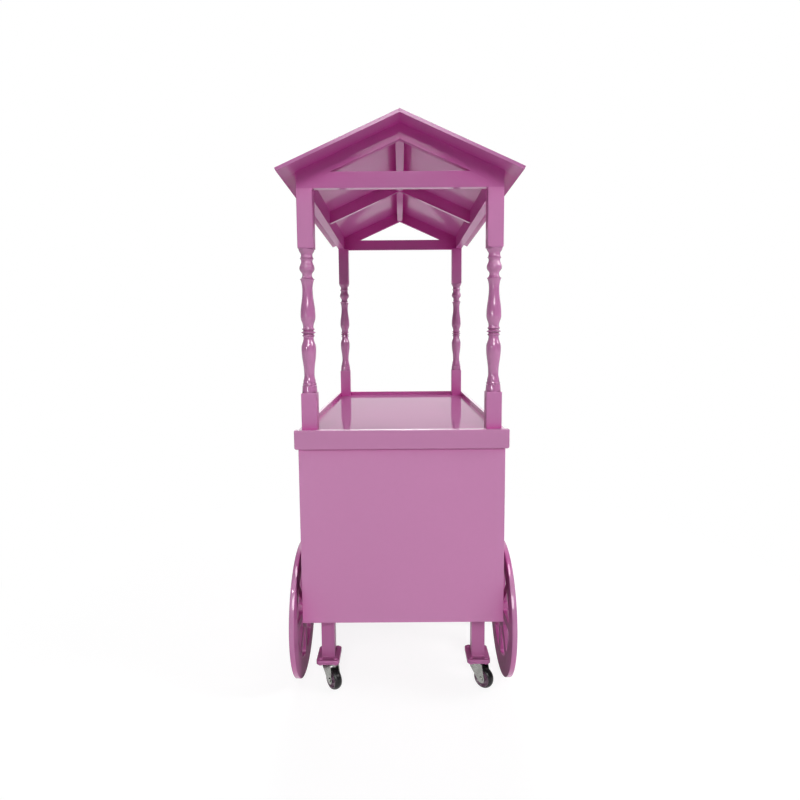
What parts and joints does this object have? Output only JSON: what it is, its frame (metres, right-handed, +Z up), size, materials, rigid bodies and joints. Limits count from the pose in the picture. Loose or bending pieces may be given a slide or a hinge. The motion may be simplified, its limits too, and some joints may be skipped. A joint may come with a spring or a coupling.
{
  "type": "market display cart",
  "caption": "Free-standing market display cart: closed cabinet under a shallow rimmed table, turned posts carrying a pitched timber roof, tall spoked side wheels and swivel castors to move it.",
  "frame": {"origin": "on the floor, under the middle of the cart", "axes": "+X to the right across the cart as seen from its front end, +Y along the cart to its rear end, +Z up"},
  "size_m": [0.7036, 1.334, 1.6796],
  "materials": {
    "pink_timber": "pink-lilac gloss paint over board and turned wood",
    "pink_steel": "the same pink-lilac gloss paint",
    "bright_steel": "bright zinc plate",
    "castor_tyre": "smooth black rubber",
    "plain_steel": "plain zinc-plated steel"
  },
  "bodies": {
    "cart": {"floor_panel": "pink_timber", "table_top": "pink_timber", "ridge_beam": "pink_timber", "end_panel_front": "pink_timber", "end_panel_rear": "pink_timber", "rim_board_front": "pink_timber", "rim_board_rear": "pink_timber", "tie_beam_front": "pink_timber", "tie_beam_rear": "pink_timber", "axle_beam_front": "pink_timber", "axle_beam_rear": "pink_timber", "side_panel_left": "pink_timber", "side_panel_right": "pink_timber", "rim_board_left": "pink_timber", "rim_board_right": "pink_timber", "eave_beam_left": "pink_timber", "eave_beam_right": "pink_timber", "roof_panel_left": "pink_timber", "roof_panel_right": "pink_timber", "rafter_middle_left": "pink_timber", "rafter_middle_right": "pink_timber", "post_front_left": "pink_timber", "post_front_right": "pink_timber", "post_rear_left": "pink_timber", "post_rear_right": "pink_timber", "rafter_front_left": "pink_timber", "rafter_front_right": "pink_timber", "rafter_rear_left": "pink_timber", "rafter_rear_right": "pink_timber", "corner_battens": "pink_timber", "table_cleats": "pink_timber", "leg_front_left": "pink_steel", "leg_front_right": "pink_steel", "leg_rear_left": "pink_steel", "leg_rear_right": "pink_steel", "castor_plates": "pink_steel", "castor_bolts": "pink_steel", "axle_bolts": "plain_steel", "axle_spacers": "plain_steel", "axle_washers": "plain_steel"},
    "tall_wheel_front_left": {"wheel_front_left": "pink_timber", "hub_front_left": "pink_timber"},
    "castor_swivel_front_left": {"castor_fork_front_left": "bright_steel", "castor_axle_front_left": "bright_steel"},
    "castor_roller_front_left": {"castor_wheel_front_left": "castor_tyre"},
    "tall_wheel_front_right": {"wheel_front_right": "pink_timber", "hub_front_right": "pink_timber"},
    "castor_swivel_front_right": {"castor_fork_front_right": "bright_steel", "castor_axle_front_right": "bright_steel"},
    "castor_roller_front_right": {"castor_wheel_front_right": "castor_tyre"},
    "tall_wheel_rear_left": {"wheel_rear_left": "pink_timber", "hub_rear_left": "pink_timber"},
    "castor_swivel_rear_left": {"castor_fork_rear_left": "bright_steel", "castor_axle_rear_left": "bright_steel"},
    "castor_roller_rear_left": {"castor_wheel_rear_left": "castor_tyre"},
    "tall_wheel_rear_right": {"wheel_rear_right": "pink_timber", "hub_rear_right": "pink_timber"},
    "castor_swivel_rear_right": {"castor_fork_rear_right": "bright_steel", "castor_axle_rear_right": "bright_steel"},
    "castor_roller_rear_right": {"castor_wheel_rear_right": "castor_tyre"}
  },
  "joints": [
    {"name": "wheel_spin_front_left", "type": "hinge", "parent": "cart", "child": "tall_wheel_front_left", "pos_m": [-0.3235, -0.448, 0.215], "axis": [1, 0, 0], "continuous": true},
    {"name": "castor_turn_front_left", "type": "hinge", "parent": "cart", "child": "castor_swivel_front_left", "pos_m": [-0.231, -0.535, 0.095], "axis": [0, 0, 1], "continuous": true},
    {"name": "castor_roll_front_left", "type": "hinge", "parent": "castor_swivel_front_left", "child": "castor_roller_front_left", "pos_m": [-0.21535, -0.55576, 0.0325], "axis": [0.7986, 0.6018, 0], "continuous": true},
    {"name": "wheel_spin_front_right", "type": "hinge", "parent": "cart", "child": "tall_wheel_front_right", "pos_m": [0.3235, -0.448, 0.215], "axis": [1, 0, 0], "continuous": true},
    {"name": "castor_turn_front_right", "type": "hinge", "parent": "cart", "child": "castor_swivel_front_right", "pos_m": [0.231, -0.535, 0.095], "axis": [0, 0, 1], "continuous": true},
    {"name": "castor_roll_front_right", "type": "hinge", "parent": "castor_swivel_front_right", "child": "castor_roller_front_right", "pos_m": [0.2497, -0.55306, 0.0325], "axis": [0.6947, 0.7193, 0], "continuous": true},
    {"name": "wheel_spin_rear_left", "type": "hinge", "parent": "cart", "child": "tall_wheel_rear_left", "pos_m": [-0.3235, 0.448, 0.215], "axis": [1, 0, 0], "continuous": true},
    {"name": "castor_turn_rear_left", "type": "hinge", "parent": "cart", "child": "castor_swivel_rear_left", "pos_m": [-0.231, 0.535, 0.095], "axis": [0, 0, 1], "continuous": true},
    {"name": "castor_roll_rear_left", "type": "hinge", "parent": "castor_swivel_rear_left", "child": "castor_roller_rear_left", "pos_m": [-0.21609, 0.5137, 0.0325], "axis": [0.8192, 0.5736, 0], "continuous": true},
    {"name": "wheel_spin_rear_right", "type": "hinge", "parent": "cart", "child": "tall_wheel_rear_right", "pos_m": [0.3235, 0.448, 0.215], "axis": [1, 0, 0], "continuous": true},
    {"name": "castor_turn_rear_right", "type": "hinge", "parent": "cart", "child": "castor_swivel_rear_right", "pos_m": [0.231, 0.535, 0.095], "axis": [0, 0, 1], "continuous": true},
    {"name": "castor_roll_rear_right", "type": "hinge", "parent": "castor_swivel_rear_right", "child": "castor_roller_rear_right", "pos_m": [0.23773, 0.50989, 0.0325], "axis": [0.9659, 0.2588, 0], "continuous": true}
  ]
}
